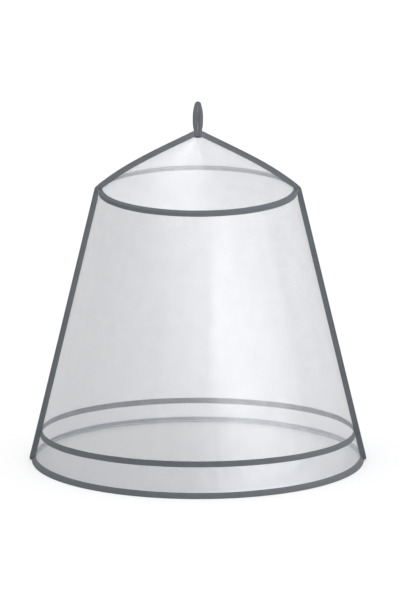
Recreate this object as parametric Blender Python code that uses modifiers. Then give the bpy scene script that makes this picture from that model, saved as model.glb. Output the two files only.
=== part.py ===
"""Mosquito net canopy: a hanging loop, a cone roof, a hoop in its tunnel, a flared wall,
a lower band and a bound hem, all sewn from netting and dark tape.

Frame: metres, +Z up. The origin is the hanging point, the top of the loop's eye, where a
hook bears. The net hangs below it, with its front towards -Y and its two side seams on
the XZ plane.
"""

import math

import bmesh
import bpy
import numpy as np
from mathutils import Vector

# ---------------------------------------------------------------- driving sizes, metres
OVERALL = 2.509            # top of the loop to the underside of the hem
EYE_DROP = 0.019           # top of the loop to the top of its eye
RING_HEIGHT = 1.889        # hoop's centre above the hem's underside
RING_RADIUS = 0.6655       # wall netting at the hoop's height
WALL_FLARE = 0.2353        # how far the wall runs out for each metre down
ROOF_POINT = 0.3835        # where the roof's sides would meet, above the hoop's centre
ROOF_FALL = 0.490          # the roof's fall at its point, for each metre out; it steepens lower down
BAND_SEAM = 0.191          # wall-to-band seam above the hem's underside, at the sides
BAND_TILT = 0.034          # how much higher that seam is at the front, and lower at the back
TILT_HOLD = 0.025          # the cloth this near the seam moves up or down with it as it is
TILT_TOP = -1.000          # height from the hoop's centre where the wall starts to follow it
CLOTH = 0.0015             # netting and tape
GAP = 0.0004               # between pieces that are sewn together
TAPE_WIDTH = 0.039         # band tape
HEM_WIDTH = 0.0365         # hem binding, upright, on the outside
HEM_TURN = 0.011           # the same where it is turned in
HEM_SPREAD = 0.016         # how far the bound hem stands out of the wall's line at the floor
HOOP_BAR = 0.0045          # radius of the hoop's rod
SEAM_FIN = 0.0395          # how far a bound side seam stands out from the netting
FIN_ROUND = 0.012          # radius of its lower corner, over the hem
FIN_FOOT = 0.0012          # its end above the hem's underside
FIN_EDGE = 0.0034          # reach of its tape's edges where they ride over another tape
TIP_RADIUS = 0.0285        # the roof's flat tip, under the loop's feet
TIP_HOLE = 0.006
TUNNEL_UP = 0.0185         # how far in from the eave the tunnel reaches, up the roof
LAP_END = -0.0240          # lower end of the roof's lap and of the tunnel, from the hoop's centre

STEP_DEG = 6               # all round pieces share these stations, so their facets lie parallel
STEPS = 360 // STEP_DEG
HALF_STEPS = STEPS // 2

# ---------------------------------------------------------------- derived sizes
HEM_Z = EYE_DROP - OVERALL
RING_Z = HEM_Z + RING_HEIGHT
SEAM_Z = HEM_Z + BAND_SEAM
LAYER = CLOTH + GAP        # middle of one layer of cloth to the middle of the next
SEAM_HALF = GAP / 2 + CLOTH / 2   # middle of a seam allowance from the XZ plane
WALL_TILT = math.atan(WALL_FLARE)
WALL_NORMAL = (math.cos(WALL_TILT), math.sin(WALL_TILT))       # outwards and up, as (r, z)
LAP_RADIUS = RING_RADIUS + LAYER / math.cos(WALL_TILT)         # roof's turned-down edge at the hoop
HOOP_RADIUS = LAP_RADIUS + (CLOTH / 2 + GAP + HOOP_BAR) / math.cos(WALL_TILT)

# The roof's eave: the roof netting passes inside the hoop with one gap to spare.
EAVE_Z = -0.0036
EAVE_R = LAP_RADIUS - WALL_FLARE * EAVE_Z
ROOF_CROWN = (ROOF_POINT - ROOF_FALL * EAVE_R - EAVE_Z) / EAVE_R**4
TUNNEL_R = EAVE_R - TUNNEL_UP                                  # the tunnel's upper edge
FIN_R = TUNNEL_R - CLOTH / 2 - GAP                             # where the roof's seam allowance starts
FIN_TOP = LAP_END - CLOTH - GAP                                # where the wall's seam allowance starts
FIN_BOTTOM = HEM_Z - RING_Z + HEM_WIDTH + GAP + CLOTH / 2      # just over the hem binding, where its seam allowance ends
HEM_TILT = math.atan(WALL_FLARE + HEM_SPREAD / (FIN_BOTTOM - HEM_Z + RING_Z))
ROOF_STATIONS = (FIN_R, 0.530, 0.340, TIP_RADIUS + 0.012)

# Heights of the crossings in the wall and the band, down from the hoop's centre.
WALL_STATIONS = tuple(FIN_TOP + (SEAM_Z - RING_Z + 0.04 - FIN_TOP) * share for share in (0.04, 0.28, 0.52, 0.76))
FIN_END = HEM_Z - RING_Z + FIN_FOOT                            # lower end of the side seams' tape

# Soft flutes in the wall, ridges out and troughs in: where, how wide, how deep, and where
# between the hoop (0) and the band (1) each is deepest.
FLUTES = (
    # azimuth_deg, half_width_deg, depth_mm, deepest_at
    (18, 13, -7.0, 0.62),
    (41, 15, 6.0, 0.55),
    (66, 14, -8.5, 0.66),
    (90, 15, 5.0, 0.50),
    (114, 16, -7.0, 0.60),
    (139, 14, 6.5, 0.68),
    (160, 12, -6.0, 0.56),
    (197, 13, -6.5, 0.58),
    (219, 15, 6.0, 0.64),
    (243, 15, -8.0, 0.60),
    (267, 14, 5.5, 0.52),
    (290, 15, -7.5, 0.66),
    (315, 15, 7.0, 0.58),
    (341, 12, -6.0, 0.62),
)

# The loop of the hanging strap, down from its top: spacing of the two legs and their size.
LOOP_BEND = 0.0129         # radius of the bend over the hook, to the middle of the strap
LOOP_TOP = 0.0095          # the strap's radius where it bears on the hook
LOOP_FLAT = 0.70           # the strap's depth, front to back, over its width
LOOP_LEGS = (
    # down_mm, half_spacing_mm, radius_mm
    (22.5, 12.9, 9.7),
    (40.0, 15.2, 12.2),
    (60.0, 17.2, 14.3),
    (90.0, 18.7, 15.9),
    (125.0, 19.0, 16.3),
    (160.0, 18.7, 16.1),
    (176.0, 17.8, 15.3),
    (192.0, 15.8, 14.1),
    (215.0, 14.9, 13.3),
    (232.0, 14.7, 13.5),
)
PATCH_RADIUS = 0.0282      # the patch that the loop's feet are sewn down on
PATCH_STEPS = 24

NETTING = (0.44, 0.445, 0.46, 1.0)
BAND_NETTING = (0.42, 0.43, 0.45, 1.0)
TAPE = (0.133, 0.145, 0.156, 1.0)
ROD = (0.62, 0.62, 0.60, 1.0)


# ---------------------------------------------------------------- shape functions
def wall_radius(z):
    """Middle of the wall and band netting at a height from the hoop's centre."""
    return RING_RADIUS - WALL_FLARE * z + hem_spread(z)


def hem_spread(z):
    """How far the cloth stands out of the wall's line, within the hem binding."""
    return HEM_SPREAD * max(0.0, (FIN_BOTTOM - z) / (FIN_BOTTOM - HEM_Z + RING_Z))


def seam_lift(azimuth_deg, z):
    """How far the cloth is set up or down, as the band's seam is higher at the front than at the back."""
    seam = SEAM_Z - RING_Z
    if z >= seam:
        share = (TILT_TOP - z) / (TILT_TOP - seam - TILT_HOLD)
    else:
        share = (z - FIN_BOTTOM) / (seam - TILT_HOLD - FIN_BOTTOM)
    return -BAND_TILT * math.sin(math.radians(azimuth_deg)) * min(1.0, max(0.0, share))


def roof_point(r):
    """A point of the roof netting at a radius, as (r, z)."""
    return r, ROOF_POINT - ROOF_FALL * r - ROOF_CROWN * r**4


def roof_normal(r):
    """Outwards and up from the roof at a radius, as (r, z)."""
    fall = ROOF_FALL + 4 * ROOF_CROWN * r**3
    return fall / math.hypot(fall, 1), 1 / math.hypot(fall, 1)


def flute(azimuth_deg, z):
    """How far the wall stands out of the plain cone, at a height from the hoop's centre."""
    top, bottom = FIN_TOP, SEAM_Z - RING_Z + TAPE_WIDTH / 2 + 0.004
    t = (z - top) / (bottom - top)
    if not 0 < t < 1:
        return 0.0
    out = 0.0
    for azimuth, half_width, depth_mm, deepest in FLUTES:
        away = abs((azimuth_deg - azimuth + 180) % 360 - 180) / half_width
        if away < 1:
            along = t / deepest if t < deepest else (1 - t) / (1 - deepest)
            out += depth_mm / 1000 * math.cos(math.pi / 2 * away) ** 2 * math.sin(math.pi / 2 * along) ** 2
    return out


def around(radius, azimuth_deg, z):
    """A point of the cloth, which slides along the wall's own line where the band's seam tilts."""
    a, lift = math.radians(azimuth_deg), seam_lift(azimuth_deg, z)
    radius -= WALL_FLARE * lift
    return Vector((radius * math.cos(a), radius * math.sin(a), RING_Z + z + lift))


def side_point(radius, side, front, z, away):
    """A point beside a side seam: side is 1 at +X and -1 at -X, front is -1 for the front panel."""
    return Vector((side * math.sqrt(radius**2 - away**2), front * away, RING_Z + z))


# ---------------------------------------------------------------- Blender helpers
def material(name, colour, roughness):
    made = bpy.data.materials.new(name)
    made.use_nodes = True
    shader = made.node_tree.nodes["Principled BSDF"]
    shader.inputs["Base Color"].default_value = colour
    shader.inputs["Roughness"].default_value = roughness
    shader.inputs["Metallic"].default_value = 0.0
    return made


def add_object(name, data, surface, collection):
    obj = bpy.data.objects.new(name, data)
    collection.objects.link(obj)
    obj.data.materials.append(surface)
    return obj


def thicken(obj, thickness=CLOTH):
    solid = obj.modifiers.new("cloth", "SOLIDIFY")
    solid.thickness = thickness
    solid.offset = 0.0
    solid.use_even_offset = True
    solid.use_quality_normals = True
    return obj


def soft_shade(obj, angle_deg=35):
    for face in obj.data.polygons:
        face.use_smooth = True
    obj.data.set_sharp_from_angle(angle=math.radians(angle_deg))


def sheet(name, columns, rows, place, surface, collection, flange=None):
    """A sheet of cloth: a grid whose crossings go where place(column, row) says.
    flange(side, row) gives the seam allowance's move at that row, or None where it is trimmed off."""
    bm = bmesh.new()
    bmesh.ops.create_grid(bm, x_segments=columns, y_segments=rows, size=0.5)
    at = {}
    for v in bm.verts:
        i, j = round((v.co.x + 0.5) * columns), round((v.co.y + 0.5) * rows)
        at[v] = (i, j)
    for v, (i, j) in at.items():
        v.co = place(i, j)
    if flange:
        for side, column in ((0, 0), (1, columns)):
            moves = {j: flange(side, j) for j in range(rows + 1)}
            edge_list = [
                e for e in bm.edges
                if all(v in at and at[v][0] == column and moves[at[v][1]] is not None for v in e.verts)
            ]
            rows_of = {tuple(round(x, 7) for x in v.co): at[v][1] for e in edge_list for v in e.verts}
            made = bmesh.ops.extrude_edge_only(bm, edges=edge_list)
            for v in (g for g in made["geom"] if isinstance(g, bmesh.types.BMVert)):
                v.co += moves[rows_of[tuple(round(x, 7) for x in v.co)]]
    bmesh.ops.recalc_face_normals(bm, faces=bm.faces)
    data = bpy.data.meshes.new(name)
    bm.to_mesh(data)
    bm.free()
    obj = thicken(add_object(name, data, surface, collection))
    soft_shade(obj)
    return obj


def turned(name, profile, surface, collection):
    """A strip of tape that runs all the way round: its section, as (r, z) points, turned about Z."""
    data = bpy.data.meshes.new(name)
    points = [(r, 0.0, RING_Z + z) for r, z in profile]
    data.from_pydata(points, [(i, i + 1) for i in range(len(points) - 1)], [])
    obj = add_object(name, data, surface, collection)
    screw = obj.modifiers.new("turn", "SCREW")
    screw.axis = "Z"
    screw.angle = math.tau
    screw.steps = screw.render_steps = STEPS
    screw.use_merge_vertices = True
    screw.merge_threshold = 0.0001
    screw.use_smooth_shade = True
    return thicken(obj)


# ---------------------------------------------------------------- the pieces
def panel_place(front, profile, fluted=False):
    """place() for a half panel between the two side seams, from its (r, z) profile."""
    start = 180 if front < 0 else 0

    def place(i, j):
        r, z = profile[j]
        if i in (0, HALF_STEPS):
            side = (-1 if i == 0 else 1) * (1 if front < 0 else -1)
            return side_point(r, side, front, z, SEAM_HALF)
        azimuth = start + STEP_DEG * i
        return around(r + (flute(azimuth, z) if fluted else 0.0), azimuth, z)

    return place


def seam_side(front, side_index):
    """+1 or -1: the X side that a panel's first (0) or last (1) column is on."""
    return (-1 if side_index == 0 else 1) * (1 if front < 0 else -1)


def fin_width(z):
    """How far the bound side seam stands out from the wall: its outer edge runs straight on over
    the hem, to a round corner."""
    away = 1 - min(1.0, (z - FIN_END) / FIN_ROUND)
    return SEAM_FIN - hem_spread(z) / math.cos(WALL_TILT) - FIN_ROUND * (1 - math.sqrt(max(0.0, 1 - away**2)))


def allowance(side, normal, width):
    """The seam allowance inside a binding that stands out by width."""
    return Vector((side * normal[0], 0.0, normal[1])) * (width - 0.006)


def make_wall(front, netting, collection):
    name = "wall_front" if front < 0 else "wall_back"
    seam_z = SEAM_Z - RING_Z
    below = seam_z + TAPE_WIDTH / 2 + 0.004
    stations = [EAVE_Z - 0.0022, FIN_TOP, *WALL_STATIONS, below, seam_z + GAP / 2]
    profile = [(wall_radius(z), z) for z in stations]

    def flange(side_index, j):
        return allowance(seam_side(front, side_index), WALL_NORMAL, SEAM_FIN) if j else None

    return sheet(name, HALF_STEPS, len(stations) - 1, panel_place(front, profile, True), netting, collection, flange)


def make_band(front, netting, collection):
    name = "band_front" if front < 0 else "band_back"
    hem, seam = HEM_Z - RING_Z, SEAM_Z - RING_Z
    stations = [seam - GAP / 2, seam - TILT_HOLD, FIN_BOTTOM, hem + CLOTH + 2 * GAP]
    profile = [(wall_radius(z), z) for z in stations]

    def flange(side_index, j):
        if j == len(stations) - 1:
            return None
        return allowance(seam_side(front, side_index), WALL_NORMAL, fin_width(stations[j]))

    return sheet(name, HALF_STEPS, len(stations) - 1, panel_place(front, profile), netting, collection, flange)


def make_roof(front, netting, collection):
    name = "roof_front" if front < 0 else "roof_back"
    tip = roof_point(TIP_RADIUS)
    profile = [(LAP_RADIUS - WALL_FLARE * LAP_END, LAP_END), (EAVE_R, EAVE_Z)]
    profile += [roof_point(r) for r in ROOF_STATIONS] + [tip, (TIP_HOLE, tip[1])]

    def flange(side_index, j):
        if not 2 <= j < 2 + len(ROOF_STATIONS):
            return None
        return allowance(seam_side(front, side_index), roof_normal(ROOF_STATIONS[j - 2]), SEAM_FIN)

    return sheet(name, HALF_STEPS, len(profile) - 1, panel_place(front, profile), netting, collection, flange)


def make_side_seam(side, surface, collection):
    """A tape folded over the seam allowances, from the roof's tip over the hoop to the hem."""
    half = SEAM_HALF + LAYER
    mouth = CLOTH / 2 + GAP + 0.0003
    # where the tape crosses the tunnel, its edges ride over it
    over_tunnel = HOOP_BAR + 2 * (GAP + CLOTH) + 0.0002
    outer = SEAM_FIN - (HOOP_RADIUS - RING_RADIUS) * math.cos(WALL_TILT)
    tip_r = TIP_RADIUS + 0.0008
    upright = 1 / roof_normal(tip_r)[1]      # the upper end is cut upright, beside the loop's foot
    # each station: base as (r, z), the way out, reach of the tape's edges, reach of its fold
    stations = [(roof_point(tip_r), (0.0, 1.0), mouth * upright, SEAM_FIN * upright)]
    for r in ROOF_STATIONS[::-1]:
        stations.append((roof_point(r), roof_normal(r), FIN_EDGE if r == FIN_R else mouth, SEAM_FIN))
    high, low = math.atan2(*roof_normal(TUNNEL_R)[::-1]), WALL_TILT
    for share in (0.0, 1 / 3, 2 / 3, 1.0):
        a = high + (low - high) * share
        stations.append(((HOOP_RADIUS, 0.0), (math.cos(a), math.sin(a)), over_tunnel, outer))
    for z in (FIN_TOP, *WALL_STATIONS, FIN_BOTTOM + 0.012):
        stations.append(((wall_radius(z), z), WALL_NORMAL, 0.0058 if z == FIN_TOP else mouth, fin_width(z)))
    # over the hem binding its edges ride clear again
    for z in (FIN_BOTTOM, *(FIN_END + FIN_ROUND * share for share in (1.0, 0.45, 0.15, 0.0))):
        stations.append(((wall_radius(z), z), WALL_NORMAL, FIN_EDGE, fin_width(z)))
    section = (("edge", -1), ("leg", -1), ("fold", -0.45), ("fold", 0.45), ("leg", 1), ("edge", 1))

    def place(i, j):
        (r, z), (out_r, out_z), edge, width = stations[j]
        what, share = section[i]
        reach = {"edge": edge, "leg": width - CLOTH / 2 - 0.0022, "fold": width - CLOTH / 2}[what]
        return Vector((side * (r + out_r * reach), half * share, RING_Z + z + out_z * reach))

    name = "side_seam_right" if side > 0 else "side_seam_left"
    return sheet(name, len(section) - 1, len(stations) - 1, place, surface, collection)


def wrapped(start, end, centre, reach, corners):
    """The (r, z) line from start to end, pulled tight over a rod: straight to it, round it
    in that many corners, clockwise, and straight off it."""
    def touches(point, turn):
        dr, dz = point[0] - centre[0], point[1] - centre[1]
        return math.atan2(dz, dr) + turn * math.acos(reach / math.hypot(dr, dz))

    first, last = touches(start, -1), touches(end, 1)
    step = (first - last) / corners
    out = reach / math.cos(step / 2)
    line = [start]
    for k in range(corners):
        a = first - step * (k + 0.5)
        line.append((centre[0] + out * math.cos(a), centre[1] + out * math.sin(a)))
    return [*line, end]


def make_tunnel(surface, collection):
    """The strip over the hoop: up the roof, round the rod and down the lap."""
    (r, z), (out_r, out_z) = roof_point(TUNNEL_R), roof_normal(TUNNEL_R)
    upper = (r + out_r * LAYER, z + out_z * LAYER)
    low_r, low_z = LAP_RADIUS - WALL_FLARE * LAP_END, LAP_END
    lower = (low_r + WALL_NORMAL[0] * LAYER, low_z + WALL_NORMAL[1] * LAYER)
    reach = HOOP_BAR + GAP + CLOTH / 2
    return turned("hoop_tunnel", wrapped(upper, lower, (HOOP_RADIUS, 0.0), reach, 2), surface, collection)


def make_hoop(surface, collection):
    bpy.ops.mesh.primitive_torus_add(
        major_segments=STEPS, minor_segments=5, major_radius=HOOP_RADIUS, minor_radius=HOOP_BAR,
        location=(0.0, 0.0, RING_Z),
    )
    obj = bpy.context.active_object
    obj.name = obj.data.name = "hoop"
    for other in list(obj.users_collection):
        other.objects.unlink(obj)
    collection.objects.link(obj)
    obj.data.materials.append(surface)
    for face in obj.data.polygons:
        face.use_smooth = True
    return obj


def make_band_tape(front, face, surface, collection):
    """Tape over the seam of wall and band: face is 1 for the outside and -1 for the inside."""
    seam = SEAM_Z - RING_Z
    along = TAPE_WIDTH / 2 * math.cos(WALL_TILT)
    heights = (seam + along, seam - along)
    rise = face * LAYER * WALL_NORMAL[1]
    clear = SEAM_HALF + LAYER + CLOTH / 2 + GAP     # stops short of the side seam's binding
    start = 180 if front < 0 else 0

    def place(i, j):
        z = heights[j]
        r = wall_radius(z) + face * LAYER * WALL_NORMAL[0]
        if i in (0, HALF_STEPS):
            side = seam_side(front, 0 if i == 0 else 1)
            corner = side_point(r, side, front, z + rise, SEAM_HALF)
            azimuth = start + (STEP_DEG if i == 0 else 180 - STEP_DEG)
            beyond = around(r, azimuth, z + rise)
            share = (clear - SEAM_HALF) / (abs(beyond.y) - SEAM_HALF)
            return corner.lerp(beyond, share)
        return around(r, start + STEP_DEG * i, z + rise)

    name = ("band_tape" if face > 0 else "band_tape_inside") + ("_front" if front < 0 else "_back")
    return sheet(name, HALF_STEPS, 1, place, surface, collection)


def make_hem_binding(surface, collection):
    """A tape round the band's lower edge, flat underneath: broad outside, and turned in a little."""
    bottom, top = HEM_Z - RING_Z + CLOTH / 2, HEM_Z - RING_Z + HEM_WIDTH
    turn = HEM_Z - RING_Z + HEM_TURN
    side = LAYER / math.cos(HEM_TILT)
    profile = [
        (wall_radius(top) + side, top),
        (wall_radius(bottom) + side, bottom),
        (wall_radius(bottom) - side, bottom),
        (wall_radius(turn) - side, turn),
    ]
    return turned("hem_binding", profile, surface, collection)


def make_patch(surface, collection):
    """The round patch over the roof's flat tip."""
    bm = bmesh.new()
    bmesh.ops.create_cone(bm, cap_ends=True, segments=PATCH_STEPS, radius1=PATCH_RADIUS, radius2=PATCH_RADIUS, depth=CLOTH)
    data = bpy.data.meshes.new("tip_patch")
    bm.to_mesh(data)
    bm.free()
    patch = add_object("tip_patch", data, surface, collection)
    patch.location.z = RING_Z + roof_point(TIP_RADIUS)[1] + LAYER
    soft_shade(patch)
    return patch


def make_loop(surface, collection):
    """The hanging loop: a filled strap over the hook, its two feet sewn down on the tip's patch."""
    top = EYE_DROP
    foot = RING_Z + roof_point(TIP_RADIUS)[1] + LAYER + CLOTH / 2 + GAP
    table = np.array(LOOP_LEGS) / 1000.0
    downs = np.concatenate([np.linspace(table[0, 0], table[-1, 0], 11), [top - foot]])

    def smooth(column):
        """The column's values at downs, along a curve with no kinks through the table's rows."""
        slopes = np.gradient(table[:, column], table[:, 0])
        out = []
        for d in downs:
            k = int(np.clip(np.searchsorted(table[:, 0], d) - 1, 0, len(table) - 2))
            h = table[k + 1, 0] - table[k, 0]
            t = min(1.0, (d - table[k, 0]) / h)
            out.append(
                (2 * t**3 - 3 * t**2 + 1) * table[k, column] + (t**3 - 2 * t**2 + t) * h * slopes[k]
                + (3 * t**2 - 2 * t**3) * table[k + 1, column] + (t**3 - t**2) * h * slopes[k + 1]
            )
        return out

    spacing, size = smooth(1), smooth(2)
    spacing[-2] = spacing[-1]
    leg = [(x, top - d, r) for x, d, r in zip(spacing, downs, size)]
    bend = []
    for a in range(18, 180, 18):
        share = abs(90 - a) / 90
        bend.append((LOOP_BEND * math.cos(math.radians(a)), top - LOOP_TOP - LOOP_BEND + LOOP_BEND * math.sin(math.radians(a)),
                     LOOP_TOP + (size[0] - LOOP_TOP) * share**2))
    course = [*leg[::-1], *bend, *[(-x, z, r) for x, z, r in leg]]
    data = bpy.data.curves.new("hanging_loop", "CURVE")
    data.dimensions = "3D"
    data.bevel_mode = "ROUND"
    data.bevel_depth = 1.0
    data.bevel_resolution = 3
    data.use_fill_caps = True
    spline = data.splines.new("POLY")
    spline.points.add(len(course) - 1)
    for point, (x, z, r) in zip(spline.points, course):
        point.co = (x, 0.0, z, 1.0)
        point.radius = r
    spline.use_smooth = True
    loop = add_object("hanging_loop", data, surface, collection)
    loop.scale.y = LOOP_FLAT
    return loop


def main():
    for obj in list(bpy.data.objects):
        bpy.data.objects.remove(obj, do_unlink=True)
    collection = bpy.data.collections.new("mosquito_net_canopy")
    bpy.context.scene.collection.children.link(collection)
    netting = material("netting", NETTING, 0.75)
    band = material("band_netting", BAND_NETTING, 0.78)
    tape = material("tape", TAPE, 0.85)
    rod = material("rod", ROD, 0.45)
    for front in (-1, 1):
        make_roof(front, netting, collection)
        make_wall(front, netting, collection)
        make_band(front, band, collection)
        make_band_tape(front, 1, tape, collection)
        make_band_tape(front, -1, tape, collection)
    for side in (-1, 1):
        make_side_seam(side, tape, collection)
    make_hoop(rod, collection)
    make_tunnel(tape, collection)
    make_hem_binding(tape, collection)
    make_patch(tape, collection)
    make_loop(tape, collection)


main()
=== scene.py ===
import math

import bmesh
import bpy
import numpy as np
from mathutils import Matrix, Vector


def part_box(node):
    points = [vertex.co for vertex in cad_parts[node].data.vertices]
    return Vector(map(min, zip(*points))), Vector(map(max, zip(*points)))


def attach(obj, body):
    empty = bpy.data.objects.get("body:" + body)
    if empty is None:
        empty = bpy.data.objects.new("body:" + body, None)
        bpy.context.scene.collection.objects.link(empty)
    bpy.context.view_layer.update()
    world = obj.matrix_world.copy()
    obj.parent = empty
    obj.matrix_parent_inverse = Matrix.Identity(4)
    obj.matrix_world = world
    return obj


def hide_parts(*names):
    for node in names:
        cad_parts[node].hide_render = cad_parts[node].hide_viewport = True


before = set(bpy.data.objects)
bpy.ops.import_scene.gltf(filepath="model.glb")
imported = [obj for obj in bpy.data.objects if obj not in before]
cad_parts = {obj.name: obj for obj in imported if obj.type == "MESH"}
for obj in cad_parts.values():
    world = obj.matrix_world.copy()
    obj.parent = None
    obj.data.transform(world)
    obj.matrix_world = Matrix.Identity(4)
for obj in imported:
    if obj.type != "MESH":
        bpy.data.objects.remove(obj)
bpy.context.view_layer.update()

# The looks of a bell-shaped mosquito net: sheer netting in two halves for the roof, the wall and the
# band, dark ribbed tape on every seam, a rod hoop in its tunnel, and a rolled tape loop to hang it by.
# Metres, in the CAD model's frame: the origin is the top of the loop's eye, and the net hangs below.

# ------------------------------------------------------------------ sizes shared with the CAD model
hoop_low, hoop_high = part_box("hoop")
RING_Z = (hoop_low.z + hoop_high.z) / 2
HEM_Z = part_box("hem_binding")[0].z
LOOP_TOP_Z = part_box("hanging_loop")[1].z
RING_RADIUS = 0.6655       # wall netting at the hoop's height
WALL_FLARE = 0.2353
ROOF_POINT = 0.3835
ROOF_FALL = 0.490
BAND_SEAM = 0.191
BAND_TILT = 0.034
TILT_HOLD = 0.025
TILT_TOP = -1.000
CLOTH = 0.0015
GAP = 0.0004
TAPE_WIDTH = 0.039
HEM_WIDTH = 0.0365
HEM_TURN = 0.011           # the hem tape's reach inside, where it is turned in
HEM_SPREAD = 0.016
HOOP_BAR = 0.0045
SEAM_FIN = 0.0395
FIN_ROUND = 0.012
FIN_FOOT = 0.0012
FIN_EDGE = 0.0034
TIP_RADIUS = 0.0285
TUNNEL_UP = 0.0185
LAP_END = -0.0240
SEAM_Z = HEM_Z + BAND_SEAM
LAYER = CLOTH + GAP
SEAM_HALF = GAP / 2 + CLOTH / 2
WALL_TILT = math.atan(WALL_FLARE)
WALL_NORMAL = (math.cos(WALL_TILT), math.sin(WALL_TILT))
LAP_RADIUS = RING_RADIUS + LAYER / math.cos(WALL_TILT)
HOOP_RADIUS = LAP_RADIUS + (CLOTH / 2 + GAP + HOOP_BAR) / math.cos(WALL_TILT)
EAVE_Z = -0.0036
EAVE_R = LAP_RADIUS - WALL_FLARE * EAVE_Z
ROOF_CROWN = (ROOF_POINT - ROOF_FALL * EAVE_R - EAVE_Z) / EAVE_R**4
TUNNEL_R = EAVE_R - TUNNEL_UP
FIN_R = TUNNEL_R - CLOTH / 2 - GAP
FIN_TOP = LAP_END - CLOTH - GAP
FIN_BOTTOM = HEM_Z - RING_Z + HEM_WIDTH + GAP + CLOTH / 2
HEM_TILT = math.atan(WALL_FLARE + HEM_SPREAD / (FIN_BOTTOM - HEM_Z + RING_Z))
HEM_NORMAL = (math.cos(HEM_TILT), math.sin(HEM_TILT))
FIN_END = HEM_Z - RING_Z + FIN_FOOT
assert abs(hoop_high.x - HOOP_RADIUS - HOOP_BAR) < 0.001, "the hoop isn't where this scene puts it"
assert abs(LOOP_TOP_Z - HEM_Z - 2.509) < 0.001, "the net isn't as tall as this scene makes it"

TAPE = 0.0013              # thickness of the tape as modelled here
FLUTES = (
    # azimuth_deg, half_width_deg, depth_mm, deepest_at
    (18, 13, -7.0, 0.62),
    (41, 15, 6.0, 0.55),
    (66, 14, -8.5, 0.66),
    (90, 15, 5.0, 0.50),
    (114, 16, -7.0, 0.60),
    (139, 14, 6.5, 0.68),
    (160, 12, -6.0, 0.56),
    (197, 13, -6.5, 0.58),
    (219, 15, 6.0, 0.64),
    (243, 15, -8.0, 0.60),
    (267, 16, 3.5, 0.52),
    (290, 18, -5.5, 0.66),
    (315, 15, 7.0, 0.58),
    (341, 12, -6.0, 0.62),
)


# ------------------------------------------------------------------ small helpers
def smooth(low, high, x):
    t = np.clip((np.asarray(x, float) - low) / (high - low), 0.0, 1.0)
    return t * t * (3 - 2 * t)


def wavy(x, seed, longest, shortest, waves=7):
    """An uneven wave along x, in metres or radians, from longest to shortest wavelength, about -1 to 1."""
    rng = np.random.default_rng(seed)
    x = np.asarray(x, float)
    total, weight = np.zeros_like(x), 0.0
    for k in range(waves):
        share = k / max(1, waves - 1)
        length = longest * (shortest / longest) ** share * rng.uniform(0.85, 1.15)
        size = 1.0 / (1 + k * 0.45)
        total = total + size * np.sin(2 * np.pi * x / length + rng.uniform(0, 2 * np.pi))
        weight += size * size
    return total / math.sqrt(weight)


def ringed(azimuth, seed, few, many, waves=7):
    """The same round the net: whole numbers of waves, so that it meets itself."""
    rng = np.random.default_rng(seed)
    total, weight = np.zeros_like(azimuth), 0.0
    for k in range(waves):
        n = int(round(few * (many / few) ** (k / max(1, waves - 1)) + rng.uniform(-1, 1)))
        size = 1.0 / (1 + k * 0.3)
        total = total + size * np.sin(n * azimuth + rng.uniform(0, 2 * np.pi))
        weight += size * size
    return total / math.sqrt(weight)


def finish_mesh(name, bm, materials, angle=40):
    data = bpy.data.meshes.new(name)
    bm.to_mesh(data)
    bm.free()
    for face in data.polygons:
        face.use_smooth = True
    data.set_sharp_from_angle(angle=math.radians(angle))
    obj = bpy.data.objects.new(name, data)
    bpy.context.scene.collection.objects.link(obj)
    for m in materials:
        data.materials.append(m)
    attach(obj, "root")
    return obj


def loft(bm, uv, rows, texture, ring=False, wrap=False):
    """Faces between rows of points. rows: (n, m, 3), texture: (n, m, 2) in metres on the cloth laid flat.
    wrap joins the last point of each row to its first; ring joins the last row to the first."""
    n, m = len(rows), len(rows[0])
    verts = [[bm.verts.new(p) for p in row] for row in rows]
    down = n if ring else n - 1
    across = m if wrap else m - 1
    length = 0.0
    if ring:
        length = float(texture[-1][0][0] - texture[0][0][0]) * n / (n - 1)
    width = 0.0
    if wrap:
        width = float(texture[0][-1][1] - texture[0][0][1]) + float(np.linalg.norm(np.subtract(rows[0][0], rows[0][-1])))
    for j in range(down):
        for i in range(across):
            j2, i2 = (j + 1) % n, (i + 1) % m
            face = bm.faces.new((verts[j][i], verts[j2][i], verts[j2][i2], verts[j][i2]))
            ends = ((j, i), (j2, i), (j2, i2), (j, i2))
            for corner, (a, b) in zip(face.loops, ends):
                u, v = texture[a][b]
                if ring and j == n - 1 and a == 0:
                    u = u + length
                if wrap and i == m - 1 and b == 0:
                    v = v + width
                corner[uv].uv = (u, v)
    return verts


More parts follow.
